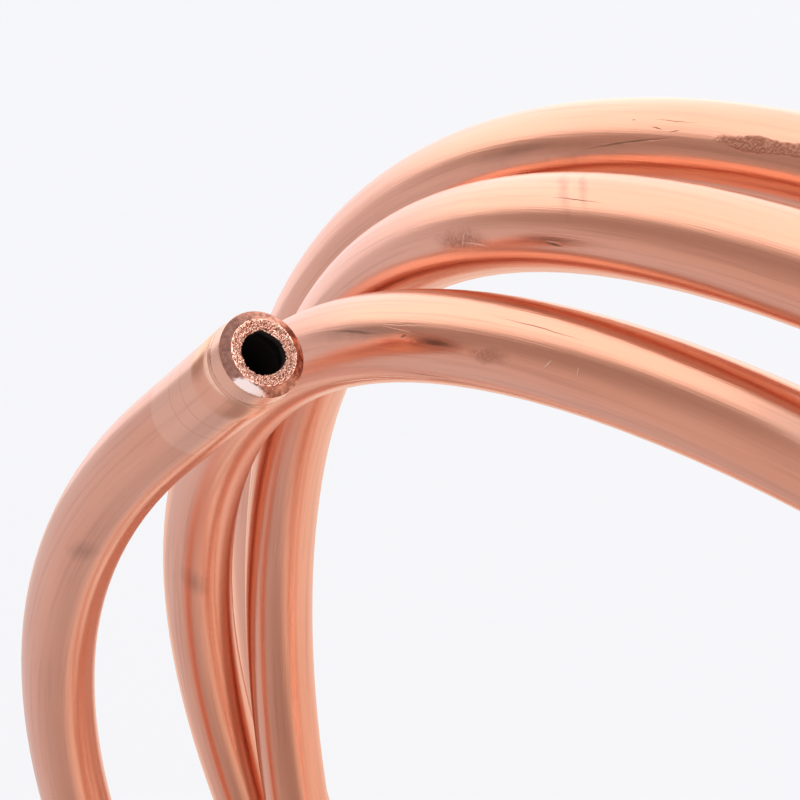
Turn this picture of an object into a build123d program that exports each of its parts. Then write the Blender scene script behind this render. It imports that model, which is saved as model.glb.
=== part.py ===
from build123d import *
import math
import os

# Copper tube coil: one length of soft annealed copper tube, wound by hand into a loose coil
# that stands on its rim. The winding's axis lies along Y and the free end is on the -Y side.
# The coil is wound about a level axis and then set on the floor, with the origin under its middle.

# Tube stock
TUBE_OD = 6.0
TUBE_WALL = 1.0

# Winding: the centre line's radius where a turn stands on the floor
COIL_RADIUS = 90.0

# The lay at every quarter turn: crest, left side, foot, right side, and so on, from the crest
# before the free end to the right side after the last foot. Each value counts tube diameters.
# OUTWARD is how far the centre line runs outside the coil radius, ALONG how far along the axis.
OUTWARD = [0.55, -1.3, 0.05, -1.2, -1.05, -1.1, -0.1, 1.4, 1.1, -1.7, -2.05, -0.45, 0.2, -0.5, 0.6, 0]
ALONG = [-0.3, -2.7, -1.85, 1.05, -0.75, 0.15, 0.05, 0.2, -0.45, 1.2, -2.15, -1.55, 1.2, 2.2, 2.4, 3]
FIRST_STATION = 90.0
QUARTER_TURN = 90.0
FREE_END_ANGLE = 138.5
LAST_FOOT_ANGLE = FIRST_STATION + QUARTER_TURN * (len(ALONG) - 2)

# The tube is bent as equal arcs, each tangent to the next. The free end is straight. Some way
# before the last foot the tube is bent level, and it runs out straight along the floor, which
# keeps the coil from rolling.
ARCS_PER_TURN = 12.4
ARC_CHORD = 2 * COIL_RADIUS * math.sin(math.pi / ARCS_PER_TURN)
LAST_BEND_ANGLE = 35.0
LAST_BEND_RADIUS = 70.0
END_RUN = 14.4
TAIL_LENGTH = 160.9

# Cut ends: the wheel cutter leaves a necked collar, a bevel, a torn face and a burred mouth
NECK_LENGTH = 1.7
NECK_DEPTH = 0.09
NECK_TAPER = 0.06
BEVEL_WIDTH = 0.55
BEVEL_RISE = 0.3
TORN_DISH = 0.1
BURR_REACH = 0.5
BURR_LENGTH = 0.6
BURR_FLARE = 0.5


def between_stations(values, angle):
    """A smooth curve through the quarter-turn values, read at an angle in degrees."""
    place = (angle - FIRST_STATION) / QUARTER_TURN
    index = min(max(math.floor(place), 0), len(values) - 2)
    t = place - index
    before = values[max(index - 1, 0)]
    start = values[index]
    end = values[index + 1]
    after = values[min(index + 2, len(values) - 1)]
    slope_in = (end - before) / 2
    slope_out = (after - start) / 2
    ease = 3 * t**2 - 2 * t**3
    return start + (end - start) * ease + slope_in * t * (1 - t)**2 - slope_out * t**2 * (1 - t)


def lay(angle):
    """The route's corner at an angle of the winding. Arcs bow inside it, onto the centre line."""
    radius = COIL_RADIUS + TUBE_OD * between_stations(OUTWARD, angle)
    corner_radius = radius + ARC_CHORD**2 / (8 * radius)
    turned = math.radians(angle)
    return Vector(
        corner_radius * math.cos(turned),
        TUBE_OD * between_stations(ALONG, angle),
        corner_radius * math.sin(turned),
    )


def next_corner(angle):
    """The angle one arc chord further round the winding, found by halving."""
    nearest = angle
    farthest = angle + QUARTER_TURN
    while farthest - nearest > 1e-9:
        middle = (nearest + farthest) / 2
        if (lay(middle) - lay(angle)).length < ARC_CHORD:
            nearest = middle
        else:
            farthest = middle
    return nearest


def centre_line():
    """Arcs that meet tangent at the middles of equal chords, the last bend, then the tail."""
    angle = next_corner(FREE_END_ANGLE)
    corner = lay(angle)
    start = (lay(FREE_END_ANGLE) + corner) / 2
    heading = (corner - start).normalized()
    edges = [Line(start - heading * END_RUN, start)]
    while next_corner(angle) < LAST_FOOT_ANGLE - LAST_BEND_ANGLE:
        angle = next_corner(angle)
        end = (corner + lay(angle)) / 2
        edges.append(TangentArc(start, end, tangent=heading))
        corner = lay(angle)
        start = end
        heading = (corner - start).normalized()
    level = Vector(heading.X, heading.Y, 0).normalized()
    knee = start + heading * ((-COIL_RADIUS - start.Z) / heading.Z)
    setback = LAST_BEND_RADIUS * math.tan(math.radians(heading.get_angle(level)) / 2)
    bend_start = knee - heading * setback
    foot = knee + level * setback
    edges.append(Line(start, bend_start))
    edges.append(TangentArc(bend_start, foot, tangent=heading))
    edges.append(Line(foot, foot + level * TAIL_LENGTH))
    return Wire(edges)


def tube_wall(radius, path, section_plane):
    """The round wall of one radius along the whole route, open at both ends."""
    rod = sweep(section_plane * Circle(radius), path=path)
    return [face for face in rod.faces() if face.geom_type != GeomType.PLANE]


def cut_end(section_plane):
    """The faces of a cut end, from the neck's shoulder over the bevel and burr into the bore."""
    outer = TUBE_OD / 2
    bore = outer - TUBE_WALL
    neck = outer - NECK_DEPTH
    rim = neck - NECK_TAPER
    crown = rim - BEVEL_WIDTH
    mouth = bore - BURR_REACH
    tip = NECK_LENGTH + BEVEL_RISE
    lip = tip - TORN_DISH
    throat = lip - BURR_LENGTH
    profile = Polyline(
        (bore, 0),
        (outer, 0),
        (neck, NECK_DEPTH),
        (rim, NECK_LENGTH),
        (crown, tip),
        (mouth, lip),
        (mouth, throat),
        (bore, throat - BURR_FLARE),
        close=True,
    )
    turned = revolve(Plane.XZ * make_face(profile), axis=Axis.Z)
    return [section_plane * face for face in turned.faces() if face.center().Z > 1e-6]


route = centre_line()
print(f"Tube length {route.length + 2 * (NECK_LENGTH + BEVEL_RISE):.1f} mm")
free_end = Plane(route @ 0, z_dir=-(route % 0))
far_end = Plane(route @ 1, z_dir=route % 1)

walls = tube_wall(TUBE_OD / 2, route, free_end) + tube_wall(TUBE_OD / 2 - TUBE_WALL, route, free_end)
tube = Solid(Shell(walls + cut_end(free_end) + cut_end(far_end)))

box = tube.bounding_box()
to_floor = Pos(-box.center().X, -box.center().Y, -box.min.Z)

os.makedirs("parts", exist_ok=True)
export_step(to_floor * tube, "parts/copper_tube.step")
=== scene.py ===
import math

import bmesh
import bpy
from mathutils import Matrix, Vector, noise
from mathutils.geometry import interpolate_bezier


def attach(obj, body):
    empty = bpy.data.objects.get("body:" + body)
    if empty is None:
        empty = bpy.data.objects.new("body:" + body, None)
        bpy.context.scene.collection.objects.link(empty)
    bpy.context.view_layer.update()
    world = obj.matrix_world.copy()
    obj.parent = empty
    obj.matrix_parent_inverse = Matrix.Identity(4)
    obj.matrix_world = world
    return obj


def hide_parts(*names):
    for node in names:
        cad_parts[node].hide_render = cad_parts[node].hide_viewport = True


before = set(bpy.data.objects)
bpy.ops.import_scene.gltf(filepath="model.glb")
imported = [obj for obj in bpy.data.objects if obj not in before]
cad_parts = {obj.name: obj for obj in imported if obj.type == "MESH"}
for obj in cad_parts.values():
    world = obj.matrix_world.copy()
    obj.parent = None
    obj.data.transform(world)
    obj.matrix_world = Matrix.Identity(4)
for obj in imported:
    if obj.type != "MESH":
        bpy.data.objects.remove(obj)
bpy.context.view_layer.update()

# The copper tube. One two metre length of soft drawn tube, 6 mm outside with a 1 mm wall, wound
# by hand into three and a third loose turns that stand on the floor. Its free end points at the
# viewer, and the far end runs out straight along the floor, which keeps the coil from rolling.
TUBE_OD = 0.006
TUBE_WALL = 0.001
COIL_RADIUS = 0.090
COIL_AXIS = Vector((-0.0300, -0.0025, 0.0930))

# The lay at every quarter turn, one turn to a row: crest, left side, foot, right side. Each value
# counts tube diameters, outside the coil radius or along the axis. The first crest lies before the
# free end.
OUTWARD = [
    0.55, -1.3, 0.0, -1.2,
    -1.05, -1.1, -0.1, 1.37,
    1.05, -1.7, -2.05, -0.45,
    0.2, -0.5, 1.6,
]
ALONG = [
    -0.3, -2.64, -1.85, 1.05,
    -0.75, 0.15, 0.05, 0.2,
    -0.45, 1.2, -2.15, -1.55,
    1.2, 2.2, 0.4,
]
FIRST_STATION = 90.0
QUARTER_TURN = 90.0
FREE_END_ANGLE = 152.5
LAST_BEND_ANGLE = 1296.0
FREE_RUN = 0.0142
TAIL_START = COIL_AXIS + Vector((-0.0125, 0.0160, -0.0900))
TAIL_HEADING = Vector((1.0, 0.0325, 0.0)).normalized()
TAIL_LENGTH = 0.1606

# How finely the route and the round walls are divided, the turns in degrees.
RING_ANGLE = 2.0
FREE_RUN_STEPS = 5
LAST_BEND_STEPS = 40
TAIL_STEPS = 24
WALL_SIDES = 72
BORE_SIDES = 24


def between_stations(values, angle):
    """A smooth curve through the quarter-turn values, read at an angle in degrees."""
    place = (angle - FIRST_STATION) / QUARTER_TURN
    index = min(max(math.floor(place), 0), len(values) - 2)
    t = place - index
    before = values[max(index - 1, 0)]
    start = values[index]
    end = values[index + 1]
    after = values[min(index + 2, len(values) - 1)]
    ease = 3 * t**2 - 2 * t**3
    bow = (end - before) / 2 * t * (1 - t) ** 2 - (after - start) / 2 * t**2 * (1 - t)
    return start + (end - start) * ease + bow


def lay(angle):
    """The middle of the tube at an angle of the winding."""
    radius = COIL_RADIUS + TUBE_OD * between_stations(OUTWARD, angle)
    turned = math.radians(angle)
    along = TUBE_OD * between_stations(ALONG, angle)
    return COIL_AXIS + Vector((radius * math.cos(turned), along, radius * math.sin(turned)))


def lay_heading(angle):
    """The way the tube runs at an angle of the winding."""
    return (lay(angle + 0.01) - lay(angle - 0.01)).normalized()


def centre_line():
    """The straight free end, the turns, the last bend and the tail, from shoulder to shoulder."""
    start = lay(FREE_END_ANGLE)
    heading = lay_heading(FREE_END_ANGLE)
    points = [start - heading * FREE_RUN * (1 - k / FREE_RUN_STEPS) for k in range(FREE_RUN_STEPS)]
    wound = LAST_BEND_ANGLE - FREE_END_ANGLE
    steps = round(wound / RING_ANGLE)
    points += [lay(FREE_END_ANGLE + wound * k / steps) for k in range(steps)]
    start = lay(LAST_BEND_ANGLE)
    heading = lay_heading(LAST_BEND_ANGLE)
    turn = heading.angle(TAIL_HEADING)
    handle = (TAIL_START - start).length * 2 / 3 * math.tan(turn / 4) / math.sin(turn / 2)
    near = start + heading * handle
    far = TAIL_START - TAIL_HEADING * handle
    points += interpolate_bezier(start, near, far, TAIL_START, LAST_BEND_STEPS)
    for k in range(1, TAIL_STEPS + 1):
        points.append(TAIL_START + TAIL_HEADING * TAIL_LENGTH * k / TAIL_STEPS)
    return points


def add_node(tree, kind, label=None, **settings):
    """A node with its settings made, and a label that says what it does."""
    made = tree.nodes.new(kind)
    for name, value in settings.items():
        setattr(made, name, value)
    if label:
        made.label = label
    return made


def new_geometry_tree(name, inputs):
    """An empty tree that turns a route into a tube, with its sizes as named inputs."""
    tree = bpy.data.node_groups.new(name, "GeometryNodeTree")
    tree.interface.new_socket("Route", in_out="INPUT", socket_type="NodeSocketGeometry")
    for socket_name, kind, value in inputs:
        socket = tree.interface.new_socket(socket_name, in_out="INPUT", socket_type=kind)
        if value is not None:
            socket.default_value = value
    tree.interface.new_socket("Tube", in_out="OUTPUT", socket_type="NodeSocketGeometry")
    return tree


def round_wall(tree, route, route_length, radius, sides):
    """One round wall along the route, with each point's place on the straightened tube."""
    link = tree.links.new
    ring = add_node(tree, "GeometryNodeCurvePrimitiveCircle", "Ring", mode="RADIUS")
    link(sides, ring.inputs["Resolution"])
    link(radius, ring.inputs["Radius"])
    place = add_node(tree, "GeometryNodeInputPosition")
    around = add_node(tree, "GeometryNodeCaptureAttribute", "Place round the tube", domain="POINT")
    around.capture_items.new("VECTOR", "Round")
    link(ring.outputs[0], around.inputs[0])
    link(place.outputs[0], around.inputs[1])
    wall = add_node(tree, "GeometryNodeCurveToMesh")
    link(route, wall.inputs["Curve"])
    link(around.outputs[0], wall.inputs["Profile Curve"])
    split = add_node(tree, "ShaderNodeSeparateXYZ")
    link(around.outputs[1], split.inputs[0])
    joined = add_node(tree, "ShaderNodeCombineXYZ")
    link(split.outputs["X"], joined.inputs["X"])
    link(split.outputs["Y"], joined.inputs["Y"])
    link(route_length, joined.inputs["Z"])
    stored = add_node(
        tree, "GeometryNodeStoreNamedAttribute", data_type="FLOAT_VECTOR", domain="POINT"
    )
    stored.inputs["Name"].default_value = "on_tube"
    link(wall.outputs[0], stored.inputs["Geometry"])
    link(joined.outputs[0], stored.inputs["Value"])
    return stored.outputs[0]


def tube_tree():
    """The outer wall and the bore swept along the route, the bore's faces turned to its middle."""
    tree = new_geometry_tree(
        "drawn_tube",
        [
            ("Outside radius", "NodeSocketFloat", TUBE_OD / 2),
            ("Bore radius", "NodeSocketFloat", TUBE_OD / 2 - TUBE_WALL),
            ("Sides outside", "NodeSocketInt", WALL_SIDES),
            ("Sides of bore", "NodeSocketInt", BORE_SIDES),
            ("Winding axis", "NodeSocketVector", (0.0, 1.0, 0.0)),
            ("Copper", "NodeSocketMaterial", None),
        ],
    )
    link = tree.links.new
    given = add_node(tree, "NodeGroupInput").outputs
    route = add_node(tree, "GeometryNodeMeshToCurve")
    link(given["Route"], route.inputs[0])
    tangent = add_node(tree, "GeometryNodeInputTangent")
    outward = add_node(tree, "ShaderNodeVectorMath", "Away from axis", operation="CROSS_PRODUCT")
    link(given["Winding axis"], outward.inputs[0])
    link(tangent.outputs[0], outward.inputs[1])
    unit = add_node(tree, "ShaderNodeVectorMath", operation="NORMALIZE")
    link(outward.outputs[0], unit.inputs[0])
    facing = add_node(tree, "GeometryNodeSetCurveNormal", mode="FREE")
    link(route.outputs[0], facing.inputs["Curve"])
    link(unit.outputs[0], facing.inputs["Normal"])
    measured = add_node(
        tree, "GeometryNodeCaptureAttribute", "Length along the tube", domain="POINT"
    )
    measured.capture_items.new("FLOAT", "Length")
    spline = add_node(tree, "GeometryNodeSplineParameter")
    link(facing.outputs[0], measured.inputs[0])
    link(spline.outputs["Length"], measured.inputs[1])
    path, length = measured.outputs[0], measured.outputs[1]
    bore = round_wall(tree, path, length, given["Bore radius"], given["Sides of bore"])
    wall = round_wall(tree, path, length, given["Outside radius"], given["Sides outside"])
    turned = add_node(tree, "GeometryNodeFlipFaces")
    link(bore, turned.inputs[0])
    walls = add_node(tree, "GeometryNodeJoinGeometry")
    link(turned.outputs[0], walls.inputs[0])
    link(wall, walls.inputs[0])
    real = add_node(tree, "GeometryNodeRealizeInstances")
    link(walls.outputs[0], real.inputs[0])
    coated = add_node(tree, "GeometryNodeSetMaterial")
    link(real.outputs[0], coated.inputs["Geometry"])
    link(given["Copper"], coated.inputs["Material"])
    tube = add_node(tree, "NodeGroupOutput")
    link(coated.outputs[0], tube.inputs[0])
    return tree


def new_copper(name):
    """A metal material with its surface shader, ready for its colour, roughness and relief."""
    material = bpy.data.materials.new(name)
    material.use_nodes = True
    shader = material.node_tree.nodes["Principled BSDF"]
    shader.inputs["Metallic"].default_value = 1.0
    return material, material.node_tree, shader


def linked(tree, kind, label, settings, inputs):
    """A node with its settings made and its inputs either linked or given a value."""
    made = add_node(tree, kind, label, **settings)
    for name, value in inputs.items():
        if isinstance(value, bpy.types.NodeSocket):
            tree.links.new(value, made.inputs[name])
        else:
            made.inputs[name].default_value = value
    return made


def calculated(tree, label, operation, *values):
    """One step of arithmetic on numbers."""
    step = {"operation": operation}
    return linked(tree, "ShaderNodeMath", label, step, dict(enumerate(values))).outputs[0]


def vector_step(tree, label, operation, *values, output="Vector"):
    """One step of arithmetic on places or directions."""
    step = {"operation": operation}
    made = linked(tree, "ShaderNodeVectorMath", label, step, dict(enumerate(values)))
    return made.outputs[output]


def ramp(tree, label, value, low, high, least=0.0, most=1.0, kind="LINEAR"):
    """A number carried from one range to another."""
    ends = {"From Min": low, "From Max": high, "To Min": least, "To Max": most}
    made = linked(
        tree, "ShaderNodeMapRange", label, {"interpolation_type": kind}, {"Value": value, **ends}
    )
    return made.outputs[0]


def mixed_colour(tree, label, share, first, second):
    """The second colour laid over the first by its share."""
    colours = {"Factor": share, "A": first, "B": second}
    made = linked(tree, "ShaderNodeMix", label, {"data_type": "RGBA"}, colours)
    return made.outputs["Result"]


def speckle(tree, label, place, scale, detail):
    """Cloudy noise of one scale."""
    look = {"Vector": place, "Scale": scale, "Detail": detail}
    return linked(tree, "ShaderNodeTexNoise", label, {}, look)


def drawn_out(tree, label, place, along):
    """The place with its length shortened, which stretches a pattern along the tube."""
    scaled = {"Vector": place, "Scale": (1, 1, along)}
    return linked(tree, "ShaderNodeMapping", label, {}, scaled).outputs[0]


def across_the_tube(tree, place):
    """The place with its length dropped, its distance from the tube's middle, and the length."""
    split = linked(tree, "ShaderNodeSeparateXYZ", None, {}, {0: place}).outputs
    flat = linked(tree, "ShaderNodeCombineXYZ", None, {}, {"X": split["X"], "Y": split["Y"]})
    radius = vector_step(tree, "Radius", "LENGTH", flat.outputs[0], output="Value")
    return flat.outputs[0], radius, split["Z"]


# How deep into the wall a spot on it reaches.
SPOT_DEPTH = 0.0015


def worn_spots(tree, label, place, spots):
    """A 0 to 1 share for spots on the tube: angle, length, half length, half width and slant."""
    share = None
    for angle, length, half_length, half_width, slant in spots:
        turned = math.radians(angle)
        across = (TUBE_OD / 2 * math.cos(turned), TUBE_OD / 2 * math.sin(turned))
        local = linked(
            tree,
            "ShaderNodeMapping",
            label,
            {"vector_type": "TEXTURE"},
            {
                "Vector": place,
                "Location": (*across, length / 1000),
                "Rotation": (-math.radians(slant), 0.0, turned),
                "Scale": (SPOT_DEPTH, half_width / 1000, half_length / 1000),
            },
        )
        fading = {"gradient_type": "SPHERICAL"}
        ball = linked(tree, "ShaderNodeTexGradient", label, fading, {"Vector": local.outputs[0]})
        spot = ball.outputs["Fac"]
        share = spot if share is None else calculated(tree, label, "MAXIMUM", share, spot)
    return share


# Where handling has marked the tube: angle round it and length along it in degrees and
# millimetres, then the spot's half length, half width and slant.
DARK_LINES = [
    (-51.5, 534.0, 3.6, 0.13, 3), (-43.0, 528.3, 2.2, 0.06, 0), (-50.0, 527.6, 3.0, 0.06, 6),
    (-57.0, 527.6, 0.5, 0.10, -16), (-115.0, 524.6, 6.0, 0.05, -1), (-108.0, 527.0, 4.0, 0.05, 2),
    (-54.5, 1627.0, 4.4, 0.10, -6), (-37.0, 1624.7, 0.6, 0.05, 7), (-38.5, 1623.1, 0.5, 0.05, -11),
    (-25.5, 1623.5, 2.0, 0.03, 0), (-27.0, 1627.1, 0.25, 0.05, 0), (-82.0, 1090.9, 1.0, 0.12, 8),
    (-30.0, 1089.0, 3.0, 0.04, 1), (-20.0, 515.0, 5.0, 0.04, 1),
]
SMUDGES = [
    (-50.0, 533.0, 9.0, 0.8, 0), (-62.0, 1638.9, 6.5, 0.8, -3), (-96.0, 1659.4, 2.6, 0.8, -10),
    (-119.0, 30.9, 2.4, 1.2, 14), (-131.0, 594.0, 1.4, 3.0, 73), (-66.0, 1632.0, 9.0, 0.7, 0),
    (-15.0, 1091.0, 3.6, 0.5, 42), (-11.0, 1089.2, 3.2, 0.4, 42),
]
SCUFFS = [(-66.0, 518.4, 2.6, 0.6, -4), (-75.0, 1101.9, 4.6, 0.9, 3)]
PITS = [(-38.0, 1615.3, 5.0, 0.55, -2)]
PALE_SCRATCHES = [
    (-57.0, 513.0, 0.55, 0.06, -43), (-55.5, 510.4, 0.4, 0.05, 90), (-81.5, 1100.3, 1.9, 0.06, 8),
    (-75.0, 1101.5, 0.7, 0.05, -46), (-124.0, 537.0, 6.0, 0.07, -1), (-118.0, 531.0, 5.0, 0.06, 0),
]
PATCH_WANDER = 0.0007
LINE_WANDER = 0.00018

# The cutter's rollers polish a band behind each cut and press thin rings into it.
ROLLED_BAND_FADE = 0.0098
ROLLED_BAND_END = 0.0094
ROLLER_RINGS = (0.0046, 0.0064)
ROLLER_RING_WIDTH = 0.00007
BORE_LIMIT = 0.0024

BRIGHT_COPPER = (0.87, 0.49, 0.365, 1.0)
TARNISHED_COPPER = (0.78, 0.40, 0.285, 1.0)
BROWN_STREAK = (0.62, 0.33, 0.24, 1.0)
ROLLED_COPPER = (0.93, 0.66, 0.55, 1.0)
ROLLER_RING_BROWN = (0.62, 0.30, 0.24, 1.0)
SMUDGE_BROWN = (0.36, 0.20, 0.16, 1.0)
SCUFFED_COPPER = (0.48, 0.24, 0.17, 1.0)
PITTED_COPPER = (0.40, 0.18, 0.12, 1.0)
DARK_LINE_BROWN = (0.16, 0.08, 0.06, 1.0)
SCRATCHED_COPPER = (0.97, 0.86, 0.80, 1.0)
BORE_SHADE = (0.02, 0.013, 0.010, 1.0)


def drawn_copper():
    """Bright drawn copper with die lines, a soft tarnish, the rollers' band and handling marks."""
    material, tree, shader = new_copper("drawn_copper")
    place = add_node(tree, "ShaderNodeAttribute", attribute_name="on_tube").outputs["Vector"]
    _, radius, along = across_the_tube(tree, place)
    inside = calculated(tree, "Inside the bore", "LESS_THAN", radius, BORE_LIMIT)

    drawn = drawn_out(tree, "Drawn lengthwise", place, 0.02)
    lines = speckle(tree, "Die lines", drawn, 2600.0, 5.0).outputs["Fac"]
    hair = speckle(tree, "Hair lines", drawn, 9000.0, 2.0).outputs["Fac"]
    patches = drawn_out(tree, "Patches drawn out", place, 0.16)
    cloud = speckle(tree, "Tarnish", patches, 420.0, 4.0).outputs["Fac"]
    grain = speckle(tree, "Fine grain", place, 5200.0, 2.0).outputs["Fac"]
    wander = speckle(tree, "Wander", place, 700.0, 3.0).outputs["Color"]
    wander = vector_step(tree, "Either way", "SUBTRACT", wander, (0.5, 0.5, 0.5))
    ragged = vector_step(tree, "Ragged", "MULTIPLY_ADD", wander, (PATCH_WANDER,) * 3, place)
    slight = vector_step(tree, "Slightly ragged", "MULTIPLY_ADD", wander, (LINE_WANDER,) * 3, place)

    dark_line = worn_spots(tree, "Dark line", slight, DARK_LINES)
    dark_line = calculated(tree, "Dark line", "MULTIPLY", dark_line, 0.9)
    scratch = worn_spots(tree, "Pale scratch", slight, PALE_SCRATCHES)
    scratch = calculated(tree, "Pale scratch", "MULTIPLY", scratch, 0.9)
    smudge = worn_spots(tree, "Smudge", ragged, SMUDGES)
    smudge = calculated(tree, "Smudge broken by lines", "MULTIPLY", smudge, lines)
    scuff = worn_spots(tree, "Scuff", ragged, SCUFFS)
    scuff = ramp(tree, "Scuffed", scuff, 0.05, 0.8, most=0.9, kind="SMOOTHSTEP")
    pit = worn_spots(tree, "Pit", ragged, PITS)
    pit = ramp(tree, "Pitted", pit, 0.05, 0.35, most=1.2, kind="SMOOTHSTEP")
    broken = ramp(tree, "Broken", grain, 0.38, 0.66, least=0.5)
    rough = calculated(tree, "Scuffed or pitted", "MAXIMUM", scuff, pit)
    rough = calculated(tree, "Broken by grain", "MULTIPLY", rough, broken)
    pit = calculated(tree, "Pits broken by grain", "MULTIPLY", pit, broken)

    colour = mixed_colour(tree, "Copper", cloud, BRIGHT_COPPER, TARNISHED_COPPER)
    streak = ramp(tree, "Streaks", lines, 0.50, 0.80)
    streak = calculated(tree, "Streaks", "MULTIPLY", streak, 0.75)
    colour = mixed_colour(tree, "Brown streaks", streak, colour, BROWN_STREAK)
    band = ramp(
        tree, "Rolled band", along, ROLLED_BAND_FADE, ROLLED_BAND_END, most=0.32, kind="SMOOTHSTEP"
    )
    colour = mixed_colour(tree, "Rolled band", band, colour, ROLLED_COPPER)
    for at in ROLLER_RINGS:
        ring = calculated(tree, "Roller ring", "COMPARE", along, at, ROLLER_RING_WIDTH)
        ring = calculated(tree, "Faint ring", "MULTIPLY", ring, 0.35)
        colour = mixed_colour(tree, "Roller ring", ring, colour, ROLLER_RING_BROWN)
    colour = mixed_colour(tree, "Smudges", smudge, colour, SMUDGE_BROWN)
    colour = mixed_colour(tree, "Scuffs", rough, colour, SCUFFED_COPPER)
    colour = mixed_colour(tree, "Pits", pit, colour, PITTED_COPPER)
    colour = mixed_colour(tree, "Dark lines", dark_line, colour, DARK_LINE_BROWN)
    colour = mixed_colour(tree, "Pale scratches", scratch, colour, SCRATCHED_COPPER)
    colour = mixed_colour(tree, "Dark bore", inside, colour, BORE_SHADE)
    tree.links.new(colour, shader.inputs["Base Color"])
    metal = calculated(tree, "Bare outside the bore", "SUBTRACT", 1.0, inside)
    tree.links.new(metal, shader.inputs["Metallic"])

    gloss = ramp(tree, "Roughness", lines, 0.0, 1.0, least=0.15, most=0.27)
    duller = calculated(tree, "Duller where scuffed", "MULTIPLY", rough, 0.35)
    gloss = calculated(tree, "Roughness", "ADD", gloss, duller)
    gloss = calculated(tree, "Dull in the bore", "MAXIMUM", gloss, inside)
    tree.links.new(gloss, shader.inputs["Roughness"])

    height = calculated(tree, "Lines and hair lines", "ADD", lines, hair)
    dents = calculated(tree, "Scuffed grain", "MULTIPLY", rough, 6.0)
    height = calculated(tree, "Height", "ADD", height, dents)
    cut = calculated(tree, "Scratched in", "ADD", dark_line, scratch)
    cut = calculated(tree, "Scratched in", "MULTIPLY", cut, 3.0)
    height = calculated(tree, "Height", "SUBTRACT", height, cut)
    shape = {"Height": height, "Strength": 0.45, "Distance": 0.000014}
    relief = linked(tree, "ShaderNodeBump", "Relief", {}, shape)
    tree.links.new(relief.outputs[0], shader.inputs["Normal"])
    return material


def swept_tube(points, material):
    """The tube as a plain closed mesh: both walls from the tree, and a ring of wall at each end."""
    mesh = bpy.data.meshes.new("tube_route")
    mesh.from_pydata([tuple(p) for p in points], [(k, k + 1) for k in range(len(points) - 1)], [])
    route = bpy.data.objects.new("tube_route", mesh)
    bpy.context.scene.collection.objects.link(route)
    tree = tube_tree()
    sweep = route.modifiers.new("drawn_tube", "NODES")
    sweep.node_group = tree
    for item in tree.interface.items_tree:
        if item.name == "Copper":
            sweep[item.identifier] = material
    seen = route.evaluated_get(bpy.context.evaluated_depsgraph_get())
    plain = bpy.data.meshes.new_from_object(seen)
    route.modifiers.remove(sweep)
    bpy.data.objects.remove(route)
    solid = bmesh.new()
    solid.from_mesh(plain)
    for end in (points[0], points[-1]):
        rims = [e for e in solid.edges if e.is_boundary and (e.verts[0].co - end).length < TUBE_OD]
        bmesh.ops.bridge_loops(solid, edges=rims)
    bmesh.ops.recalc_face_normals(solid, faces=solid.faces)
    for face in solid.faces:
        face.smooth = len(face.verts) == 4
    solid.to_mesh(plain)
    solid.free()
    plain.name = "tube_wall"
    tube = bpy.data.objects.new("tube_wall", plain)
    bpy.context.scene.collection.objects.link(tube)
    return tube


route_points = centre_line()
tube_wall = swept_tube(route_points, drawn_copper())
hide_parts("copper_tube")
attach(tube_wall, "root")

# The cut ends. The cutter's wheel and rollers leave a thin groove and a slightly necked collar, a
# rolled bevel, a torn grey ring where the last of the wall broke, and a burred, narrowed mouth.
NECK_LENGTH = 0.0017
NECK_DEPTH = 0.00007
NECK_TAPER = 0.00001
BEVEL_WIDTH = 0.00068
BEVEL_RISE = 0.0004
TORN_DISH = 0.0001
BURR_REACH = 0.0005
BURR_LENGTH = 0.0006
BURR_FLARE = 0.0005
END_SIDES = 240

# The groove at the shoulder, as depths under the tube's outside and heights above the shoulder.
GROOVE = [(0.0, 0.0), (0.00003, 0.00010), (0.00013, 0.00020), (0.00007, 0.00034), (0.00007, 0.0005)]

# The torn ring's roughness: how high its grain, specks, lumps and ridges stand, how many there are
# in a metre, and how far the mouth's edge wanders.
GRAIN_RISE = 0.00012
GRAIN_SCALE = 7000
SPECK_RISE = 0.00007
SPECK_SCALE = 15000
LUMP_RISE = 0.00008
LUMP_SCALE = 2200
RIDGE_RISE = 0.00003
RIDGE_SPACING = 0.00036
MOUTH_WANDER = 0.00011


def end_radii():
    """The radii of the outside, the neck, the rim, the bevel's crown, the bore and the mouth."""
    outer = TUBE_OD / 2
    bore = outer - TUBE_WALL
    neck = outer - NECK_DEPTH
    rim = neck - NECK_TAPER
    return outer, neck, rim, rim - BEVEL_WIDTH, bore, bore - BURR_REACH


def stepped(start, end, steps):
    """Even steps from one (radius, height) pair to another, without the first."""
    return [
        tuple(a + (b - a) * k / steps for a, b in zip(start, end)) for k in range(1, steps + 1)
    ]


def end_profile():
    """The turned outline of a cut end as (radius, height) pairs, from the shoulder to the bore."""
    outer, neck, rim, crown, bore, mouth = end_radii()
    tip = NECK_LENGTH + BEVEL_RISE
    lip = tip - TORN_DISH
    throat = lip - BURR_LENGTH
    outline = [(outer - depth, height) for depth, height in GROOVE]
    outline += stepped(outline[-1], (rim, NECK_LENGTH - 0.0001), 6)
    outline += [(rim - 0.00001, NECK_LENGTH - 0.00001), (rim - 0.00005, NECK_LENGTH + 0.00003)]
    outline += stepped((rim, NECK_LENGTH), (crown, tip), 8)[1:]
    outline += stepped((crown, tip), (mouth, lip), 26)
    outline += stepped((mouth, lip), (mouth, throat), 6)
    return outline + [(bore, throat - BURR_FLARE), (bore, 0.0)]


def grown(value, full):
    """0 at nothing, 1 at the full value and beyond."""
    return min(max(value / full, 0.0), 1.0)


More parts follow.
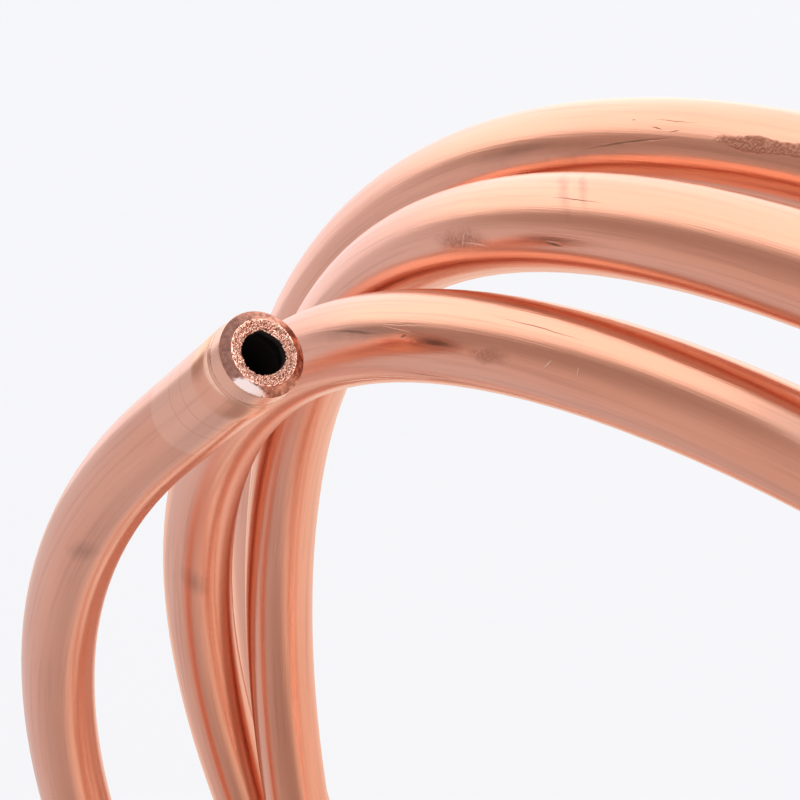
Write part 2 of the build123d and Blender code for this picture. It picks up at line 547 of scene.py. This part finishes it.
def torn_rise(flat, radius, crown):
    """How far the torn ring stands up or down at one point, from nothing at the bevel's crown."""
    grain = noise.noise(flat * radius * GRAIN_SCALE)
    speck = noise.noise(flat * radius * SPECK_SCALE + Vector((5, 0, 0)))
    lump = noise.noise(flat * radius * LUMP_SCALE + Vector((0, 0, 7)))
    ridge = math.cos((crown - radius) / RIDGE_SPACING * 2 * math.pi)
    rise = grain * GRAIN_RISE + speck * SPECK_RISE + lump * LUMP_RISE - ridge * RIDGE_RISE
    return grown(crown - radius, 0.0001) * rise


def cut_end(name, shoulder, outward, material):
    """A closed turned mesh on the tube's shoulder, with its torn ring roughened point by point."""
    across = Vector((0.0, 1.0, 0.0)).cross(outward).normalized()
    aside = outward.cross(across)
    crown = end_radii()[3]
    below_lip = NECK_LENGTH + BEVEL_RISE - 0.0002
    solid = bmesh.new()
    rings = []
    places = []
    for radius, height in end_profile():
        ring = []
        for k in range(END_SIDES):
            angle = 2 * math.pi * k / END_SIDES
            flat = Vector((math.cos(angle), math.sin(angle), 0.0))
            rise = torn_rise(flat, radius, crown) if height > below_lip else 0.0
            wander = noise.noise(flat * 1.6 + Vector((0, 0, 3.3))) + 0.5 * noise.noise(flat * 4.5)
            near_mouth = grown(0.00185 - radius, 0.0003) if height > 0.0009 else 0.0
            radius_here = radius + MOUTH_WANDER * wander * near_mouth
            spot = shoulder + (across * flat.x + aside * flat.y) * radius_here
            spot += outward * (height + rise)
            ring.append(solid.verts.new(spot))
            places.append((radius_here * flat.x, radius_here * flat.y, height + rise))
        rings.append(ring)
    for inner, outer in zip(rings, rings[1:] + rings[:1]):
        for k in range(END_SIDES):
            m = (k + 1) % END_SIDES
            face = solid.faces.new((inner[k], inner[m], outer[m], outer[k]))
            face.smooth = True
    bmesh.ops.recalc_face_normals(solid, faces=solid.faces)
    mesh = bpy.data.meshes.new(name)
    solid.to_mesh(mesh)
    solid.free()
    stored = mesh.attributes.new("on_end", "FLOAT_VECTOR", "POINT")
    for k, spot in enumerate(places):
        stored.data[k].vector = spot
    mesh.materials.append(material)
    end = bpy.data.objects.new(name, mesh)
    bpy.context.scene.collection.objects.link(end)
    return end


CLEAN_COLLAR = (0.88, 0.55, 0.43, 1.0)
BURNISHED_DARK = (0.27, 0.12, 0.09, 1.0)
BURNISHED_BRIGHT = (0.76, 0.37, 0.28, 1.0)
# Painted dark reflection: one side of the bevel is coloured dark brown, on the side this direction
# points to.
DARK_REFLECTION_BROWN = (0.24, 0.11, 0.09, 1.0)
DARK_REFLECTION_SIDE = (-0.55, -0.84, 0.0)
DARK_SPOT_BROWN = (0.10, 0.05, 0.04, 1.0)
# Painted highlight: a pale pink spot on the bevel that stands in for a reflection of bright light.
PAINTED_HIGHLIGHT = (0.97, 0.78, 0.74, 1.0)
TORN_DARK = (0.26, 0.10, 0.07, 1.0)
TORN_BRIGHT = (0.92, 0.56, 0.44, 1.0)
DARK_SPOTS = [(91.0, 2.0, 0.7, 0.5, 0)]
PAINTED_HIGHLIGHTS = [(-62.0, 1.85, 0.62, 2.1, 0)]
TORN_LIMIT = 0.00224
MOUTH_LIMIT = NECK_LENGTH + BEVEL_RISE - 0.00022


def cut_copper():
    """Cut copper: a rolled collar, a brown burnished bevel with a painted dark reflection on one
    side and a painted highlight, a sparkling torn ring, a dark bore.
    """
    material, tree, shader = new_copper("cut_copper")
    place = add_node(tree, "ShaderNodeAttribute", attribute_name="on_end").outputs["Vector"]
    flat, radius, height = across_the_tube(tree, place)
    on_bevel = calculated(tree, "On the face", "GREATER_THAN", height, NECK_LENGTH)
    in_ring = calculated(tree, "Inside the bevel", "LESS_THAN", radius, TORN_LIMIT)
    low = calculated(tree, "Below the mouth", "LESS_THAN", height, MOUTH_LIMIT)
    in_bore = calculated(tree, "In the bore", "MULTIPLY", low, in_ring)

    grain = speckle(tree, "Torn grain", place, 9000.0, 3.0).outputs["Fac"]
    mottle = speckle(tree, "Mottle", place, 3200.0, 6.0).outputs["Fac"]
    mottle = ramp(tree, "Mottle", mottle, 0.36, 0.66)
    bevel = mixed_colour(tree, "Bevel", mottle, BURNISHED_DARK, BURNISHED_BRIGHT)
    # The bevel is painted darker towards one side, a painted dark reflection of dim surroundings.
    side = vector_step(
        tree, "Towards the painted dark side", "DOT_PRODUCT", flat, DARK_REFLECTION_SIDE, output="Value"
    )
    dark_reflection = ramp(tree, "Painted dark reflection", side, -0.001, 0.0026, most=0.7, kind="SMOOTHSTEP")
    bevel = mixed_colour(tree, "Painted dark reflection side", dark_reflection, bevel, DARK_REFLECTION_BROWN)
    spot = worn_spots(tree, "Dark spot", place, DARK_SPOTS)
    bevel = mixed_colour(tree, "Dark spot", spot, bevel, DARK_SPOT_BROWN)
    # A painted highlight on the bevel, its edge made ragged by the mottle.
    painted_highlight = worn_spots(tree, "Painted highlight", place, PAINTED_HIGHLIGHTS)
    painted_highlight = calculated(tree, "Ragged painted highlight", "MULTIPLY_ADD", mottle, 0.12, painted_highlight)
    painted_highlight = ramp(tree, "Painted highlight", painted_highlight, 0.42, 0.52)
    bevel = mixed_colour(tree, "Painted highlight", painted_highlight, bevel, PAINTED_HIGHLIGHT)
    sparkle = ramp(tree, "Sparkle", grain, 0.38, 0.62)
    torn = mixed_colour(tree, "Torn ring", sparkle, TORN_DARK, TORN_BRIGHT)
    colour = mixed_colour(tree, "Collar and bevel", on_bevel, CLEAN_COLLAR, bevel)
    colour = mixed_colour(tree, "Torn ring", in_ring, colour, torn)
    colour = mixed_colour(tree, "Dark bore", in_bore, colour, BORE_SHADE)
    tree.links.new(colour, shader.inputs["Base Color"])
    metal = calculated(tree, "Bare outside the bore", "SUBTRACT", 1.0, in_bore)
    tree.links.new(metal, shader.inputs["Metallic"])
    gloss = ramp(tree, "Roughness", in_bore, 0.0, 1.0, least=0.22, most=0.9)
    tree.links.new(gloss, shader.inputs["Roughness"])
    shape = {"Height": grain, "Strength": 0.5, "Distance": 0.00003}
    relief = linked(tree, "ShaderNodeBump", "Relief", {}, shape)
    tree.links.new(relief.outputs[0], shader.inputs["Normal"])
    return material


cut_finish = cut_copper()
for end_name, shoulder, next_point in (
    ("free_cut_end", route_points[0], route_points[1]),
    ("far_cut_end", route_points[-1], route_points[-2]),
):
    end = cut_end(end_name, shoulder, (shoulder - next_point).normalized(), cut_finish)
    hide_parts("copper_tube")
    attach(end, "root")

# The floor and the light. A plain pale floor under a white studio, with one broad soft lamp high
# behind the coil, and a wide low dish round it that only the copper reflects.
FLOOR_REACH = 4
FLOOR_PAINT = (0.9, 0.9, 0.92, 1.0)
FLOOR_GLOW = (0.92, 0.925, 0.955, 1.0)
FLOOR_GLOW_SHARE = 0.85
STUDIO_WHITE = (0.97, 0.97, 0.98, 1.0)


def seen_directly(tree):
    """1 where the camera looks, also in a reflection or through glass, and 0 for other light."""
    path = add_node(tree, "ShaderNodeLightPath").outputs
    seen = calculated(tree, "Seen", "MAXIMUM", path["Is Camera Ray"], path["Is Glossy Ray"])
    return calculated(tree, "Seen", "MAXIMUM", seen, path["Is Transmission Ray"])


def pale_floor():
    """Near white paint that keeps a soft shadow and shows white to the camera and in the metal."""
    material = bpy.data.materials.new("pale_floor")
    material.use_nodes = True
    tree = material.node_tree
    shader = tree.nodes["Principled BSDF"]
    shader.inputs["Base Color"].default_value = FLOOR_PAINT
    shader.inputs["Roughness"].default_value = 0.6
    share = calculated(tree, "Glow", "MULTIPLY", seen_directly(tree), FLOOR_GLOW_SHARE)
    glow = add_node(tree, "ShaderNodeEmission")
    glow.inputs["Color"].default_value = FLOOR_GLOW
    both = {0: share, 1: shader.outputs[0], 2: glow.outputs[0]}
    mixed = linked(tree, "ShaderNodeMixShader", None, {}, both)
    tree.links.new(mixed.outputs[0], tree.nodes["Material Output"].inputs["Surface"])
    return material


corners = [(-FLOOR_REACH, -FLOOR_REACH, 0), (FLOOR_REACH, -FLOOR_REACH, 0)]
corners += [(FLOOR_REACH, FLOOR_REACH, 0), (-FLOOR_REACH, FLOOR_REACH, 0)]
floor_mesh = bpy.data.meshes.new("floor")
floor_mesh.from_pydata(corners, [], [(0, 1, 2, 3)])
floor_mesh.materials.append(pale_floor())
floor = bpy.data.objects.new("floor", floor_mesh)
bpy.context.scene.collection.objects.link(floor)

world = bpy.data.worlds.new("white_studio")
world.use_nodes = True
bpy.context.scene.world = world
sky = world.node_tree.nodes["Background"]
sky.inputs["Color"].default_value = STUDIO_WHITE
seen = seen_directly(world.node_tree)
level = ramp(world.node_tree, "Studio light", seen, 0.0, 1.0, least=0.7)
world.node_tree.links.new(level, sky.inputs["Strength"])

LAMP_PLACE = Vector((0.35, 0.75, 1.1))
LAMP_AIM = Vector((-0.03, 0.0, 0.1))
light = bpy.data.lights.new("soft_overhead", "AREA")
light.shape = "RECTANGLE"
light.size = 0.8
light.size_y = 0.8
light.energy = 9.0
lamp = bpy.data.objects.new("soft_overhead", light)
bpy.context.scene.collection.objects.link(lamp)
lamp.location = LAMP_PLACE
lamp.rotation_euler = (LAMP_AIM - LAMP_PLACE).to_track_quat("-Z", "Y").to_euler()

TENT_RADIUS = 1.2
TENT_FLOOR = 0.0004
TENT_TOP = 0.7
TENT_SIDES = 48
TENT_MIDDLE = (-0.20, 0.0, 0.0)
DIM_NEAR = (0.76, 0.68, 0.69, 1.0)
DIM_LEFT = (0.74, 0.60, 0.56, 1.0)
DIM_FRONT = (0.46, 0.35, 0.31, 1.0)
BRIGHT_NEAR = (1.15, 1.05, 1.07, 1.0)
BRIGHT_FAR = (1.62, 1.47, 1.37, 1.0)
BRIGHT_RIGHT = (1.0, 0.78, 0.66, 1.0)


def tent_glow():
    """The dish's light, dim in front and bright behind, as seen from the coil's left side."""
    material = bpy.data.materials.new("light_tent")
    material.use_nodes = True
    tree = material.node_tree
    place = add_node(tree, "ShaderNodeTexCoord").outputs["Object"]
    away = vector_step(tree, "From the coil's left side", "SUBTRACT", place, TENT_MIDDLE)
    level = vector_step(tree, "Level", "MULTIPLY", away, (1.0, 1.0, 0.0))
    heading = vector_step(tree, "Heading", "NORMALIZE", level)
    split = linked(tree, "ShaderNodeSeparateXYZ", None, {}, {0: heading}).outputs
    reach = vector_step(tree, "Reach", "LENGTH", level, output="Value")
    far = ramp(tree, "Near to far", reach, 0.06, 0.22, kind="SMOOTHSTEP")
    front = ramp(tree, "Front to left", split["Y"], -0.95, -0.55, kind="SMOOTHSTEP")
    behind = ramp(tree, "Front to back", split["Y"], -0.38, -0.12, kind="SMOOTHSTEP")
    right = ramp(tree, "Towards the right", split["X"], -0.1, 0.5, kind="SMOOTHSTEP")
    dim = mixed_colour(tree, "Dim left front", front, DIM_LEFT, DIM_FRONT)
    dim = mixed_colour(tree, "Dim front", far, DIM_NEAR, dim)
    bright = mixed_colour(tree, "Bright back", far, BRIGHT_NEAR, BRIGHT_FAR)
    bright = mixed_colour(tree, "Softer on the right", right, bright, BRIGHT_RIGHT)
    shade = mixed_colour(tree, "Studio", behind, dim, bright)
    glow = linked(tree, "ShaderNodeEmission", None, {}, {"Color": shade})
    tree.links.new(glow.outputs[0], tree.nodes["Material Output"].inputs["Surface"])
    return material


def light_tent():
    """A wide low dish round the coil that only the metal sees."""
    solid = bmesh.new()
    rings = []
    for height in (TENT_FLOOR, TENT_TOP):
        ring = []
        for k in range(TENT_SIDES):
            angle = 2 * math.pi * k / TENT_SIDES
            across = (TENT_RADIUS * math.cos(angle), TENT_RADIUS * math.sin(angle))
            ring.append(solid.verts.new((*across, height)))
        rings.append(ring)
    low, high = rings
    solid.faces.new(low)
    for k in range(TENT_SIDES):
        m = (k + 1) % TENT_SIDES
        solid.faces.new((low[k], low[m], high[m], high[k]))
    mesh = bpy.data.meshes.new("light_tent")
    solid.to_mesh(mesh)
    solid.free()
    mesh.materials.append(tent_glow())
    tent = bpy.data.objects.new("light_tent", mesh)
    bpy.context.scene.collection.objects.link(tent)
    tent.visible_camera = False
    tent.visible_diffuse = False
    tent.visible_shadow = False
    return tent


light_tent()

# The camera looks down on the crest from the front left, turned a little clockwise.
CAMERA_PLACE = COIL_AXIS + Vector((-0.01167, -0.07743, 0.18433))
CAMERA_RIGHT = Vector((0.70404, 0.70065, 0.11581))
CAMERA_UP = Vector((-0.6369, 0.55083, 0.5394))
view = bpy.data.cameras.new("camera")
view.sensor_width = 36.0
view.lens = 112.5
view.clip_start = 0.005
camera = bpy.data.objects.new("camera", view)
bpy.context.scene.collection.objects.link(camera)
back = CAMERA_RIGHT.cross(CAMERA_UP).normalized()
up = back.cross(CAMERA_RIGHT).normalized()
turned = Matrix((CAMERA_RIGHT.normalized(), up, back)).transposed().to_4x4()
camera.matrix_world = Matrix.Translation(CAMERA_PLACE) @ turned
bpy.context.scene.camera = camera
bpy.context.scene.view_settings.view_transform = "Standard"
